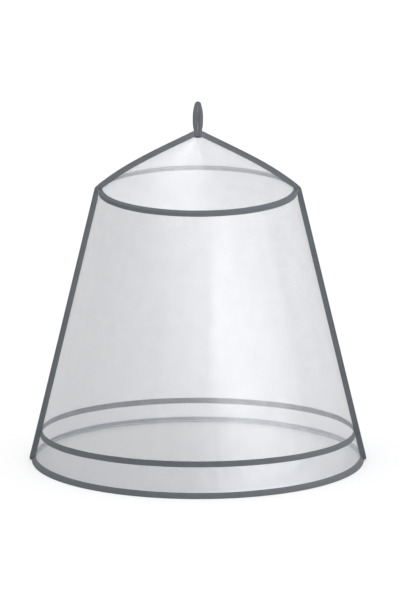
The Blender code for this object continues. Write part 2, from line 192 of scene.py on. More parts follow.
def section_of(path, thickness):
    """The closed outline of a strip of tape whose middle follows path, (n, 2), with round edges.
    Returns its points and, for each, how far across the strip it is, from the strip's middle."""
    path = np.asarray(path, float)
    step = np.diff(path, axis=0)
    length = np.hypot(*step.T)
    along = np.concatenate([[0.0], np.cumsum(length)]) - length.sum() / 2
    tangent = np.zeros_like(path)
    tangent[:-1] += step / length[:, None]
    tangent[1:] += step / length[:, None]
    tangent /= np.hypot(*tangent.T)[:, None]
    normal = np.stack([-tangent[:, 1], tangent[:, 0]], 1)
    half = thickness / 2
    turn = np.ones(len(path))
    inner = np.einsum("ij,ij->i", step[:-1] / length[:-1, None], step[1:] / length[1:, None])
    turn[1:-1] = 1 / np.sqrt(np.clip((1 + inner) / 2, 0.3, 1))
    points, across = [], []
    for k in range(len(path)):
        points.append(path[k] + normal[k] * half * turn[k])
        across.append(along[k])
    for a in (45, 0, -45):
        c, s = math.cos(math.radians(a)), math.sin(math.radians(a))
        points.append(path[-1] + half * (tangent[-1] * c + normal[-1] * s))
        across.append(along[-1] + half)
    for k in range(len(path) - 1, -1, -1):
        points.append(path[k] - normal[k] * half * turn[k])
        across.append(along[k])
    for a in (-135, 180, 135):
        c, s = math.cos(math.radians(a)), math.sin(math.radians(a))
        points.append(path[0] + half * (tangent[0] * c + normal[0] * s))
        across.append(along[0] - half)
    return np.array(points), np.array(across)


def cap(bm, uv, ring, flip):
    face = bm.faces.new(ring[::-1] if flip else ring)
    for corner in face.loops:
        corner[uv].uv = (corner.vert.co.x, corner.vert.co.z)


# ------------------------------------------------------------------ materials
def nodes_of(name):
    m = bpy.data.materials.new(name)
    m.use_nodes = True
    tree = m.node_tree
    return m, tree, tree.nodes["Principled BSDF"]


class Graph:
    """Short spellings for shader nodes."""

    def __init__(self, tree):
        self.tree = tree

    def node(self, kind, **settings):
        made = self.tree.nodes.new(kind)
        for key, value in settings.items():
            setattr(made, key, value)
        return made

    def put(self, socket, value):
        if isinstance(value, bpy.types.NodeSocket):
            self.tree.links.new(value, socket)
        else:
            socket.default_value = value

    def math(self, what, a, b=0.0, c=0.0, clamp=False):
        made = self.node("ShaderNodeMath", operation=what, use_clamp=clamp)
        for socket, value in zip(made.inputs, (a, b, c)):
            self.put(socket, value)
        return made.outputs[0]

    def uv(self):
        made = self.node("ShaderNodeUVMap", uv_map="flat")
        split = self.node("ShaderNodeSeparateXYZ")
        self.tree.links.new(made.outputs[0], split.inputs[0])
        return made.outputs[0], split.outputs[0], split.outputs[1]

    def noise(self, where, scale, detail=3.0, rough=0.5, stretch=None):
        if stretch:
            mapping = self.node("ShaderNodeMapping")
            self.put(mapping.inputs["Vector"], where)
            mapping.inputs["Scale"].default_value = stretch
            where = mapping.outputs[0]
        made = self.node("ShaderNodeTexNoise")
        self.put(made.inputs["Vector"], where)
        made.inputs["Scale"].default_value = scale
        made.inputs["Detail"].default_value = detail
        made.inputs["Roughness"].default_value = rough
        return made.outputs["Fac"]

    def span(self, value, from_low, from_high, to_low, to_high, kind="LINEAR"):
        made = self.node("ShaderNodeMapRange", interpolation_type=kind)
        for socket, x in zip(made.inputs, (value, from_low, from_high, to_low, to_high)):
            self.put(socket, x)
        return made.outputs[0]

    def mix(self, share, a, b):
        made = self.node("ShaderNodeMix", data_type="RGBA")
        self.put(made.inputs[0], share)
        self.put(made.inputs[6], a)
        self.put(made.inputs[7], b)
        return made.outputs[2]

    def bump(self, height, strength, distance, under=None):
        made = self.node("ShaderNodeBump")
        made.inputs["Strength"].default_value = strength
        made.inputs["Distance"].default_value = distance
        self.put(made.inputs["Height"], height)
        if under is not None:
            self.put(made.inputs["Normal"], under)
        return made.outputs[0]


def netting(name, cell, thread, open_alpha, thread_alpha, colour, shade, satin=0.55, rough=0.50):
    """Hexagonal netting: cell is the hole's width and thread its strands' width, in metres."""
    m, tree, shader = nodes_of(name)
    g = Graph(tree)
    where, u, v = g.uv()
    # a grid of hexagons, from two offset grids of boxes one by root three
    root = math.sqrt(3)
    u, v = g.math("DIVIDE", u, cell), g.math("DIVIDE", v, cell)
    # soft netting is never quite regular: its meshes are pulled about by up to half a cell
    pull = g.node("ShaderNodeTexNoise")
    g.put(pull.inputs["Vector"], where)
    pull.inputs["Scale"].default_value = 24.0
    pull.inputs["Detail"].default_value = 2.0
    pull.inputs["Roughness"].default_value = 0.6
    parts = g.node("ShaderNodeSeparateColor")
    g.tree.links.new(pull.outputs["Color"], parts.inputs[0])
    u = g.math("MULTIPLY_ADD", parts.outputs[0], 3.4, u)
    v = g.math("MULTIPLY_ADD", parts.outputs[1], 3.4, v)

    def boxed(x, y):
        a = g.math("SUBTRACT", g.math("FLOORED_MODULO", x, 1.0), 0.5)
        b = g.math("SUBTRACT", g.math("FLOORED_MODULO", y, root), root / 2)
        return a, b

    a = boxed(u, v)
    b = boxed(g.math("SUBTRACT", u, 0.5), g.math("SUBTRACT", v, root / 2))

    def hexed(x, y):
        x, y = g.math("ABSOLUTE", x), g.math("ABSOLUTE", y)
        return g.math("MAXIMUM", x, g.math("ADD", g.math("MULTIPLY", x, 0.5), g.math("MULTIPLY", y, root / 2)))

    edge = g.math("SUBTRACT", 0.5, g.math("MINIMUM", hexed(*a), hexed(*b)))
    half = thread / cell / 2
    strand = g.span(edge, half * 0.75, half * 1.35, 1.0, 0.0, "SMOOTHSTEP")
    haze = g.noise(where, 9.0, 3.0, 0.5)
    slub = g.noise(where, 160.0, 2.0, 0.6)
    alpha = g.span(strand, 0.0, 1.0, open_alpha, thread_alpha)
    alpha = g.math("MULTIPLY", alpha, g.span(haze, 0.25, 0.75, 0.94, 1.06))
    alpha = g.math("MULTIPLY", alpha, g.span(slub, 0.25, 0.75, 0.93, 1.07), clamp=True)
    g.put(shader.inputs["Alpha"], alpha)
    tone = g.mix(g.span(haze, 0.3, 0.7, 0.0, 1.0), (*shade, 1), (*colour, 1))
    g.put(shader.inputs["Base Color"], tone)
    shader.inputs["Metallic"].default_value = satin
    shader.inputs["Roughness"].default_value = rough
    shader.inputs["Specular IOR Level"].default_value = 0.5
    g.put(shader.inputs["Normal"], g.bump(strand, 0.12, 0.0003))
    return m


def tape_material(name, colour, light, pitch=0.0014, edge=0.0165):
    """Ribbed tape: u runs along it and v across it from its middle line."""
    m, tree, shader = nodes_of(name)
    g = Graph(tree)
    where, u, v = g.uv()
    phase = g.math("MULTIPLY", u, 2 * math.pi / pitch)
    warp = g.noise(where, 60.0, 2.0, 0.5)
    phase = g.math("ADD", phase, g.math("MULTIPLY", warp, 1.6))
    rib = g.span(g.math("SINE", phase), -1.0, 1.0, 0.0, 1.0)
    cross = g.math("SINE", g.math("MULTIPLY", v, 2 * math.pi / (pitch * 0.55)))
    weave = g.math("MULTIPLY_ADD", cross, 0.18, rib)
    fuzz = g.noise(where, 900.0, 2.0, 0.7)
    wear = g.noise(where, 14.0, 4.0, 0.55)
    rim = g.span(g.math("ABSOLUTE", v), edge - 0.0030, edge + 0.0006, 0.0, 1.0, "SMOOTHSTEP")
    share = g.math("MULTIPLY_ADD", rib, 0.34, g.math("MULTIPLY", wear, 0.5))
    share = g.math("MULTIPLY_ADD", fuzz, 0.28, share)
    share = g.math("MULTIPLY_ADD", rim, 0.16, share, clamp=True)
    g.put(shader.inputs["Base Color"], g.mix(share, (*colour, 1), (*light, 1)))
    g.put(shader.inputs["Roughness"], g.span(rib, 0.0, 1.0, 0.88, 0.70))
    shader.inputs["Specular IOR Level"].default_value = 0.20
    shader.inputs["Sheen Weight"].default_value = 0.05
    shader.inputs["Sheen Roughness"].default_value = 0.5
    under = g.bump(g.math("MULTIPLY_ADD", fuzz, 0.5, weave), 0.6, 0.00035)
    g.put(shader.inputs["Normal"], g.bump(wear, 0.25, 0.0015, under))
    return m


def thread_material(name, colour, light):
    m, tree, shader = nodes_of(name)
    g = Graph(tree)
    where = g.node("ShaderNodeTexCoord").outputs["Object"]
    grain = g.noise(where, 700.0, 2.0, 0.6)
    g.put(shader.inputs["Base Color"], g.mix(grain, (*colour, 1), (*light, 1)))
    g.put(shader.inputs["Roughness"], g.span(grain, 0.3, 0.7, 0.55, 0.7))
    g.put(shader.inputs["Normal"], g.bump(grain, 0.4, 0.0001))
    return m


def rod_material(name, colour, light):
    m, tree, shader = nodes_of(name)
    g = Graph(tree)
    where = g.node("ShaderNodeTexCoord").outputs["Object"]
    haze = g.noise(where, 26.0, 4.0, 0.55)
    scuff = g.noise(where, 340.0, 2.0, 0.6)
    g.put(shader.inputs["Base Color"], g.mix(haze, (*colour, 1), (*light, 1)))
    g.put(shader.inputs["Roughness"], g.span(scuff, 0.3, 0.7, 0.38, 0.55))
    g.put(shader.inputs["Normal"], g.bump(scuff, 0.2, 0.0002))
    return m


NET = netting("netting", 0.0024, 0.00042, 0.20, 0.84, (0.365, 0.370, 0.383), (0.328, 0.335, 0.351))
# The roof's netting has the wall's mesh, but its colour is set lighter: painted light, standing in for the roof lit
# from above.
ROOF_NET_PAINTED_LIGHT = netting("roof_netting_painted_light", 0.0024, 0.00042, 0.24, 0.88, (0.50, 0.505, 0.52), (0.46, 0.467, 0.485))
# The band is its own, finer netting. Its colour is set a little darker and bluer than the wall's, which is painted
# shade: the bluish shade inside the hem.
BAND_NET_PAINTED_SHADE = netting("band_netting", 0.0020, 0.00042, 0.20, 0.86, (0.350, 0.362, 0.388), (0.314, 0.327, 0.355))
TAPE_CLOTH = tape_material("tape", (0.039, 0.0432, 0.0475), (0.077, 0.0845, 0.093), edge=0.0180)
LOOP_CLOTH = tape_material("loop_tape", (0.036, 0.040, 0.044), (0.072, 0.079, 0.087), 0.0014, 0.034)
THREAD = thread_material("thread", (0.075, 0.081, 0.088), (0.13, 0.138, 0.15))
ROD = rod_material("rod", (0.58, 0.58, 0.56), (0.70, 0.70, 0.68))


# ------------------------------------------------------------------ where the cloth lies
def hem_spread(z):
    """How far the cloth stands out of the wall's line, within the hem."""
    return HEM_SPREAD * np.maximum(0.0, (FIN_BOTTOM - np.asarray(z, float)) / (FIN_BOTTOM - HEM_Z + RING_Z))


def wall_radius(z):
    return RING_RADIUS - WALL_FLARE * z + hem_spread(z)


def seam_lift(azimuth, z):
    """How far the cloth is set up or down, as the band's seam is higher at the front than at the back."""
    seam = SEAM_Z - RING_Z
    over = (TILT_TOP - z) / (TILT_TOP - seam - TILT_HOLD)
    under = (z - FIN_BOTTOM) / (seam - TILT_HOLD - FIN_BOTTOM)
    share = np.clip(np.where(np.asarray(z) >= seam, over, under), 0.0, 1.0)
    return -BAND_TILT * np.sin(azimuth) * share


def roof_height(r):
    return ROOF_POINT - ROOF_FALL * r - ROOF_CROWN * r**4


def roof_normal(r):
    fall = ROOF_FALL + 4 * ROOF_CROWN * r**3
    long = np.hypot(fall, 1)
    return fall / long, 1 / long


def from_sides(azimuth):
    """Angle to the nearer side seam, in radians."""
    a = np.abs((azimuth + np.pi / 2) % np.pi - np.pi / 2)
    return a


def wall_swell(azimuth, z):
    """How far the wall's netting stands out of the plain cone, z from the hoop's centre."""
    top, bottom = FIN_TOP, SEAM_Z - RING_Z + TAPE_WIDTH / 2 + 0.004
    t = np.clip((z - top) / (bottom - top), 0.0, 1.0)
    out = np.zeros(np.broadcast(azimuth, z).shape)
    degrees = np.degrees(azimuth)
    for where, half_width, depth_mm, deepest in FLUTES:
        away = np.clip(np.abs((degrees - where + 180) % 360 - 180) / half_width, 0, 1)
        along = np.where(t < deepest, t / deepest, (1 - t) / (1 - deepest))
        out = out + depth_mm / 1000 * np.cos(np.pi / 2 * away) ** 2 * np.sin(np.pi / 2 * along) ** 2
    free = smooth(0.012, 0.10, from_sides(azimuth))
    below, above = top - z, z - bottom
    # small gathers that die away from the hoop and from the band's seam
    out = out + free * 0.0016 * ringed(azimuth, 3, 46, 110) * smooth(0.0, 0.03, below) * np.exp(-below / 0.11)
    out = out + free * 0.0022 * ringed(azimuth, 5, 38, 96) * smooth(0.0, 0.03, above) * np.exp(-above / 0.14)
    # long faint folds
    lean = azimuth + 0.10 * np.sin(3 * azimuth + 1.0) * t
    out = out + free * 0.0016 * ringed(lean, 11, 14, 40, 6) * np.sin(np.pi * t) ** 1.2
    return out


def band_swell(azimuth, z):
    """The same for the band: gathers under its tape and a little wave above its hem."""
    top, bottom = SEAM_Z - RING_Z - TAPE_WIDTH / 2 - 0.003, FIN_BOTTOM + 0.003
    below, above = top - z, z - bottom
    free = smooth(0.012, 0.06, from_sides(azimuth))
    out = free * 0.0020 * ringed(azimuth, 17, 42, 104) * smooth(0.0, 0.03, below) * np.exp(-np.clip(below, 0, 1) / 0.07)
    out = out * smooth(0.0, 0.03, above)
    t = np.clip(below / (top - bottom), 0, 1)
    return out + free * 0.0022 * ringed(azimuth, 19, 9, 34, 6) * np.sin(np.pi * t) ** 2


def roof_swell(azimuth, r):
    """The same for the roof: faint folds that run down from its tip."""
    free = smooth(0.014, 0.10, from_sides(azimuth) * np.clip(r / 0.3, 0.25, 1))
    out = free * 0.0011 * ringed(azimuth, 23, 7, 22, 6) * smooth(0.045, 0.14, r) * smooth(EAVE_R - 0.03, EAVE_R - 0.16, r)
    t = np.clip((r - 0.05) / (EAVE_R - 0.09), 0, 1)
    return out + free * 0.0014 * ringed(azimuth, 29, 4, 10, 4) * np.sin(np.pi * t) ** 2


def fin_width(z):
    away = 1 - np.minimum(1.0, (z - FIN_END) / FIN_ROUND)
    return SEAM_FIN - hem_spread(z) / math.cos(WALL_TILT) - FIN_ROUND * (1 - np.sqrt(np.maximum(0.0, 1 - away**2)))


def sway(s, side):
    """How far a bound side seam leans off its plane at a height s."""
    return 0.0022 * wavy(s, 41 + side, 0.9, 0.21, 5)


# ------------------------------------------------------------------ netting
def half_columns(front, count):
    """Azimuths of a half panel's columns, from its first side seam to its second."""
    start = math.pi if front < 0 else 0.0
    return start + np.linspace(0, math.pi, count)


def side_of(front, first):
    """+1 or -1: the X side that a panel's first or last column is on."""
    return (-1 if first else 1) * (1 if front < 0 else -1)


def panel(name, front, radii, heights, normals, swell, flat_at, flange, material, columns=168):
    """A half panel of netting: one row for each radius and height of its profile. flange(row) is the
    width of its seam allowance there, or 0. normals: outwards at each row, as (r, z)."""
    azimuth = half_columns(front, columns)
    start = azimuth[0]
    rows, texture = [], []
    for r, z, (out_r, out_z) in zip(radii, heights, normals):
        s = swell(azimuth, np.full_like(azimuth, z), r)
        lift = seam_lift(azimuth, z)
        rr, zz = r + s * out_r - WALL_FLARE * lift, z + s * out_z + lift
        points = np.stack([rr * np.cos(azimuth), rr * np.sin(azimuth), RING_Z + zz], 1)
        for k in (0, -1):
            side = side_of(front, k == 0)
            points[k] = (side * math.sqrt(r * r - SEAM_HALF**2), front * SEAM_HALF, RING_Z + z)
        rows.append(points)
        texture.append([flat_at(a - start - math.pi / 2, r - WALL_FLARE * d, z + d) for a, d in zip(azimuth, lift)])
    bm = bmesh.new()
    uv = bm.loops.layers.uv.new("flat")
    verts = loft(bm, uv, rows, texture)
    for k in (0, -1):
        side = side_of(front, k == 0)
        keep = [j for j in range(len(radii)) if flange(j) > 0]
        edge_rows, edge_texture = [], []
        for j in keep:
            out = normals[j]
            base = rows[j][k]
            line, marks = [], []
            for share in (0.0, 0.34, 0.67, 1.0):
                reach = flange(j) * share
                lean = sway(heights[j] if radii[j] > TIP_RADIUS + 0.02 else 0.0, side) * (share * flange(j) / SEAM_FIN)
                lean *= ends(radii[j], heights[j])
                line.append((base[0] + side * out[0] * reach, base[1] + lean, base[2] + out[1] * reach))
                u, v = texture[j][k]
                marks.append((u + (-1 if k == 0 else 1) * reach, v))
            edge_rows.append(line)
            edge_texture.append(marks)
        loft(bm, uv, edge_rows, edge_texture)
    bmesh.ops.remove_doubles(bm, verts=bm.verts, dist=1e-6)
    bmesh.ops.recalc_face_normals(bm, faces=bm.faces)
    lay_out(bm, uv, math.radians(30) if front > 0 else 0.0)
    return finish_mesh(name, bm, [material], 60)


def lay_out(bm, uv, turn):
    """Turns the mesh of the panel's netting, so that the front's and the back's holes don't line up."""
    if turn:
        c, s = math.cos(turn), math.sin(turn)
        for face in bm.faces:
            for corner in face.loops:
                u, v = corner[uv].uv
                corner[uv].uv = (u * c - v * s, u * s + v * c)


def ends(r, z):
    """1 along a side seam, falling to 0 where it passes the hoop, the tip and the hem."""
    on_wall = float(smooth(0.02, 0.16, FIN_TOP - z) * smooth(0.0, 0.10, z - FIN_BOTTOM))
    on_roof = float(smooth(TIP_RADIUS + 0.01, 0.14, r) * smooth(FIN_R - 0.01, FIN_R - 0.12, r))
    return on_wall if z < FIN_TOP + 1e-9 else on_roof


def spaced(low, high, step):
    return np.linspace(low, high, max(2, int(round(abs(high - low) / step)) + 1))


SIN_CONE = math.sin(WALL_TILT)
HEM_DROP = FIN_BOTTOM - HEM_Z + RING_Z
HEM_EXTRA = math.hypot(1, WALL_FLARE + HEM_SPREAD / HEM_DROP) - math.hypot(1, WALL_FLARE)


def wall_flat(turn, r, z):
    """Where a point of the wall or the band lies in its flat cut, which the hem's flare makes a little longer."""
    spread = float(hem_spread(z))
    slant, a = (r - spread) / SIN_CONE + spread / HEM_SPREAD * HEM_DROP * HEM_EXTRA, turn * SIN_CONE
    return slant * math.sin(a), -slant * math.cos(a)


ROOF_TURN = 0.861


def roof_flat(turn, r, z):
    slant = r / ROOF_TURN if z > EAVE_Z - 1e-9 else EAVE_R / ROOF_TURN + (EAVE_Z - z)
    return slant * math.sin(turn * ROOF_TURN), -slant * math.cos(turn * ROOF_TURN)


def make_wall(front):
    heights = np.concatenate([[EAVE_Z - 0.0022, -0.015], spaced(FIN_TOP, FIN_TOP - 0.12, 0.012),
                              spaced(FIN_TOP - 0.15, SEAM_Z - RING_Z + 0.18, 0.032),
                              spaced(SEAM_Z - RING_Z + 0.15, SEAM_Z - RING_Z + GAP / 2, 0.012)])
    radii = wall_radius(heights)
    name = "wall_net_front" if front < 0 else "wall_net_back"
    obj = panel(name, front, radii, heights, [WALL_NORMAL] * len(radii), lambda a, z, r: wall_swell(a, z), wall_flat,
                lambda j: SEAM_FIN - 0.010 if heights[j] <= FIN_TOP + 1e-9 else 0.0, NET, 192)
    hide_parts("wall_front" if front < 0 else "wall_back")
    return obj


def make_band(front):
    heights = spaced(SEAM_Z - RING_Z - GAP / 2, HEM_Z - RING_Z + CLOTH + 2 * GAP, 0.0095)
    radii = wall_radius(heights)
    name = "band_net_front" if front < 0 else "band_net_back"

    def flange(j):
        return float(fin_width(heights[j])) - 0.010 if heights[j] >= FIN_BOTTOM - 0.002 else 0.0

    obj = panel(name, front, radii, heights, [WALL_NORMAL] * len(radii), lambda a, z, r: band_swell(a, z), wall_flat,
                flange, BAND_NET_PAINTED_SHADE, 192)
    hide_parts("band_front" if front < 0 else "band_back")
    return obj


def make_roof(front):
    slope = np.concatenate([spaced(FIN_R, 0.60, 0.012), spaced(0.58, 0.10, 0.020), spaced(0.088, TIP_RADIUS + 0.004, 0.009)])
    radii = np.concatenate([[LAP_RADIUS - WALL_FLARE * LAP_END, LAP_RADIUS - WALL_FLARE * -0.012, EAVE_R, (EAVE_R + FIN_R) / 2],
                            slope, [TIP_RADIUS, 0.018, 0.006]])
    tip = float(roof_height(TIP_RADIUS))
    heights = np.concatenate([[LAP_END, -0.012, EAVE_Z, float(roof_height((EAVE_R + FIN_R) / 2)) - 0.0001],
                              roof_height(slope), [tip, tip, tip]])
    normals = [WALL_NORMAL, WALL_NORMAL] + [tuple(float(x) for x in roof_normal(r)) for r in radii[2:]]
    last = len(radii) - 4
    obj = panel("roof_net_front" if front < 0 else "roof_net_back", front, radii, heights, normals,
                lambda a, z, r: roof_swell(a, np.full_like(a, r)) if z[0] > EAVE_Z else np.zeros_like(a), roof_flat,
                lambda j: SEAM_FIN - 0.010 if 4 <= j <= last else 0.0, ROOF_NET_PAINTED_LIGHT, 168)
    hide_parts("roof_front" if front < 0 else "roof_back")
    return obj


# ------------------------------------------------------------------ tape
def ring_tape(name, path, node, seeds, pucker, wobble, count=720):
    """Tape that runs all the way round, its middle following path, (n, 2) as (r, z) from the hoop's centre."""
    points, across = section_of(path, TAPE)
    azimuth = np.arange(count) * 2 * math.pi / count
    far = np.abs(across) / np.abs(across).max()
    ripple = ringed(azimuth, seeds[0], 90, 260)
    drift = ringed(azimuth, seeds[1], 5, 30)
    middle = np.mean(path, axis=0)
    rows, texture = [], []
    for k, a in enumerate(azimuth):
        r = points[:, 0] + pucker * ripple[k] * far**3
        z = points[:, 1] + wobble * drift[k] * np.sign(points[:, 1] - middle[1]) * far**2
        rows.append(np.stack([r * math.cos(a), r * math.sin(a), RING_Z + z], 1))
        texture.append([(a * middle[0], v) for v in across])
    bm = bmesh.new()
    uv = bm.loops.layers.uv.new("flat")
    loft(bm, uv, rows, texture, ring=True, wrap=True)
    bmesh.ops.recalc_face_normals(bm, faces=bm.faces)
    obj = finish_mesh(name, bm, [TAPE_CLOTH], 50)
    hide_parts(node)
    return obj


def make_hem():
    bottom, top, turn = (HEM_Z - RING_Z + up for up in (TAPE / 2 + 0.0001, HEM_WIDTH, HEM_TURN))
    side = LAYER / math.cos(HEM_TILT)
    fold = 0.0016
    path = [(wall_radius(z) + side, z) for z in spaced(top, bottom + fold, 0.004)]
    for a in (25, 55, 90, 125, 155):
        c, s = math.cos(math.radians(a)), math.sin(math.radians(a))
        path.append((wall_radius(bottom) + side * c, bottom + fold * (1 - s)))
    path += [(wall_radius(z) - side, z) for z in spaced(bottom + fold, turn, 0.003)]
    return ring_tape("hem_tape", path, "hem_binding", (51, 53), 0.0003, 0.0005)


def tangents(start, end, centre, reach):
    """Angles where straight lines from start and end touch a circle, start's first, turning clockwise."""
    def touches(point, turn):
        dr, dz = point[0] - centre[0], point[1] - centre[1]
        return math.atan2(dz, dr) + turn * math.acos(reach / math.hypot(dr, dz))

    return touches(start, -1), touches(end, 1)


def tunnel_path():
    normal = roof_normal(TUNNEL_R)
    upper = (TUNNEL_R + normal[0] * LAYER, float(roof_height(TUNNEL_R)) + normal[1] * LAYER)
    lower = (LAP_RADIUS - WALL_FLARE * LAP_END + WALL_NORMAL[0] * LAYER, LAP_END + WALL_NORMAL[1] * LAYER)
    reach = HOOP_BAR + GAP + CLOTH / 2
    first, last = tangents(upper, lower, (HOOP_RADIUS, 0.0), reach)
    path = [np.array(upper)]
    turned = [np.array((HOOP_RADIUS + reach * math.cos(a), reach * math.sin(a))) for a in np.linspace(first, last, 10)]
    for share in (0.25, 0.5, 0.75):
        path.append(path[0] * (1 - share) + turned[0] * share)
    path += turned
    for share in (0.25, 0.5, 0.75, 1.0):
        path.append(turned[-1] * (1 - share) + np.array(lower) * share)
    return np.array(path)


def make_tunnel():
    return ring_tape("hoop_tunnel_tape", tunnel_path(), "hoop_tunnel", (57, 59), 0.0003, 0.0004)


def make_band_tape(front, face):
    """The tape over the seam of wall and band: face is 1 for the outside and -1 for the inside."""
    seam = SEAM_Z - RING_Z
    along = TAPE_WIDTH / 2 * math.cos(WALL_TILT)
    rise = face * LAYER * WALL_NORMAL[1]
    path = [(wall_radius(z) + face * LAYER * WALL_NORMAL[0], z + rise) for z in spaced(seam + along, seam - along, 0.004)]
    points, across = section_of(path, TAPE)
    far = np.abs(across) / np.abs(across).max()
    radius = wall_radius(seam) + face * LAYER
    # outside it stops at the side seams, and inside its ends all but meet
    clear = (SEAM_HALF + LAYER + CLOTH / 2 + GAP + 0.0006 if face > 0 else 0.0004) / radius
    azimuth = (math.pi if front < 0 else 0.0) + np.linspace(clear, math.pi - clear, 360)
    ripple = ringed(azimuth, 61 + face, 90, 260)
    drift = ringed(azimuth, 67 + face, 5, 30)
    rows, texture = [], []
    for k, a in enumerate(azimuth):
        free = float(smooth(0.0, 0.03, min(a - azimuth[0], azimuth[-1] - a)))
        r = points[:, 0] + 0.0003 * free * ripple[k] * far**3
        z = points[:, 1] + 0.0006 * free * drift[k]
        lift = float(seam_lift(a, seam))
        r, z = r - WALL_FLARE * lift, z + lift
        rows.append(np.stack([r * math.cos(a), r * math.sin(a), RING_Z + z], 1))
        texture.append([(a * radius, v) for v in across])
    bm = bmesh.new()
    uv = bm.loops.layers.uv.new("flat")
    verts = loft(bm, uv, rows, texture, wrap=True)
    cap(bm, uv, verts[0], False)
    cap(bm, uv, verts[-1], True)
    bmesh.ops.recalc_face_normals(bm, faces=bm.faces)
    end = ("" if face > 0 else "inside_") + ("front" if front < 0 else "back")
    obj = finish_mesh("band_tape_strip_" + end, bm, [TAPE_CLOTH], 50)
    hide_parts("band_tape_" + end)
    return obj


def seam_stations():
    """Stations of a side seam's binding from the roof's tip over the hoop to the hem: base (r, z), the way
    out (r, z), the reach of the tape's edges and of its fold, and how freely it leans."""
    mouth = CLOTH / 2 + GAP + 0.0003
    over_tunnel = HOOP_BAR + 2 * (GAP + CLOTH) + 0.0002
    outer = SEAM_FIN - (HOOP_RADIUS - RING_RADIUS) * math.cos(WALL_TILT)
    tip_r = TIP_RADIUS + 0.0004
    stations = []
    # the tip is cut upright, and the way out turns to the roof's own over a short run
    for r in np.concatenate([spaced(tip_r, tip_r + 0.02, 0.004), spaced(tip_r + 0.03, FIN_R, 0.012)]):
        n = [float(x) for x in roof_normal(r)]
        turn = float(smooth(tip_r, tip_r + 0.018, r))
        upright = 1 / n[1]
        out = np.array([n[0] * turn, n[1] * turn + (1 - turn)])
        out /= np.hypot(*out)
        stretch = upright * (1 - turn) + turn
        edge = mouth + (0.0034 - mouth) * float(smooth(FIN_R - 0.035, FIN_R, r))
        stations.append(((float(r), float(roof_height(r))), tuple(out), edge * stretch, SEAM_FIN * stretch, ends(r, 0.0)))
    high, low = math.atan2(*[float(x) for x in roof_normal(TUNNEL_R)[::-1]]), WALL_TILT
    for share in np.linspace(0, 1, 9):
        a = high + (low - high) * share
        stations.append(((HOOP_RADIUS, 0.0), (math.cos(a), math.sin(a)), over_tunnel, outer, 0.0))
    over_hem = [FIN_BOTTOM, *(FIN_END + FIN_ROUND * share for share in (1.35, 1.0, 0.8, 0.62, 0.46, 0.32, 0.2, 0.11, 0.04, 0.0))]
    for z in np.concatenate([spaced(FIN_TOP, FIN_BOTTOM + 0.012, 0.012), [FIN_BOTTOM + 0.006], over_hem]):
        edge = mouth + (0.0058 - mouth) * float(smooth(FIN_TOP - 0.05, FIN_TOP, z))
        edge += (FIN_EDGE - mouth) * float(smooth(FIN_BOTTOM + 0.012, FIN_BOTTOM, z))
        stations.append(((float(wall_radius(z)), float(z)), WALL_NORMAL, edge, float(fin_width(z)), ends(0.0, z)))
    return stations


def seam_lean(base, side, free):
    return sway(base[1], side) * free


def make_side_seam(side):
    half = SEAM_HALF + LAYER
    rows, texture = [], []
    run, before = 0.0, None
    for base, out, edge, width, free in seam_stations():
        top = width - CLOTH / 2
        straight = top - half
        path = [(x, -half) for x in np.linspace(edge, straight, 7)]
        path += [(straight + half * math.sin(math.radians(a)), -half * math.cos(math.radians(a))) for a in (22.5, 45, 67.5, 90, 112.5, 135, 157.5)]
        path += [(x, half) for x in np.linspace(straight, edge, 7)]
        points, across = section_of(path, TAPE)
        lean = seam_lean(base, side, free)
        reach, y = points[:, 0], points[:, 1] + lean * np.clip(points[:, 0] / SEAM_FIN, 0, 1.2)
        line = np.stack([side * (base[0] + out[0] * reach), y, RING_Z + base[1] + out[1] * reach], 1)
        middle = np.array([base[0] + out[0] * top * 0.6, base[1] + out[1] * top * 0.6])
        if before is not None:
            run += float(np.hypot(*(middle - before)))
        before = middle
        rows.append(line)
        texture.append([(run, v) for v in across])
    bm = bmesh.new()
    uv = bm.loops.layers.uv.new("flat")
    verts = loft(bm, uv, rows, texture, wrap=True)
    bmesh.ops.recalc_face_normals(bm, faces=bm.faces)
    cap(bm, uv, verts[0], False)
    cap(bm, uv, verts[-1], True)
    bmesh.ops.recalc_face_normals(bm, faces=bm.faces)
    name = "side_seam_tape_right" if side > 0 else "side_seam_tape_left"
    obj = finish_mesh(name, bm, [TAPE_CLOTH], 50)
    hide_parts("side_seam_right" if side > 0 else "side_seam_left")
    return obj


# ------------------------------------------------------------------ the hoop
def make_hoop():
    count, sides = 300, 16
    rows, texture = [], []
    for k in range(count):
        a = 2 * math.pi * k / count
        line = []
        for s in range(sides):
            b = 2 * math.pi * s / sides
            r, z = HOOP_RADIUS + HOOP_BAR * math.cos(b), HOOP_BAR * math.sin(b)
            line.append((r * math.cos(a), r * math.sin(a), RING_Z + z))
        rows.append(line)
        texture.append([(a * HOOP_RADIUS, b / sides * 0.028) for b in range(sides)])
    bm = bmesh.new()
    uv = bm.loops.layers.uv.new("flat")
    loft(bm, uv, rows, texture, ring=True, wrap=True)
    bmesh.ops.recalc_face_normals(bm, faces=bm.faces)
    obj = finish_mesh("hoop_rod", bm, [ROD], 80)
    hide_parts("hoop")
    return obj


# ------------------------------------------------------------------ the hanging loop
LOOP_BEND = 0.0129
LOOP_TOP = 0.0095
LOOP_SLIT = 0.0003         # half the slit between the legs, which the CAD model holds open for the hook
LOOP_FLAT = 0.70
LOOP_LEGS = (
    # down_mm, half_spacing_mm, radius_mm
    (22.5, 12.9, 9.7),
    (40.0, 15.2, 12.2),
    (60.0, 17.2, 14.3),
    (90.0, 18.7, 15.9),
    (125.0, 19.0, 16.3),
    (160.0, 18.7, 16.1),
    (176.0, 17.8, 15.3),
    (192.0, 15.8, 14.1),
    (215.0, 15.0, 13.5),
    (232.0, 15.0, 13.6),
)


ROLL_OUT, ROLL_IN = 0.932, 0.9745      # the rolled strap's reach out of the loop and into it, of its size


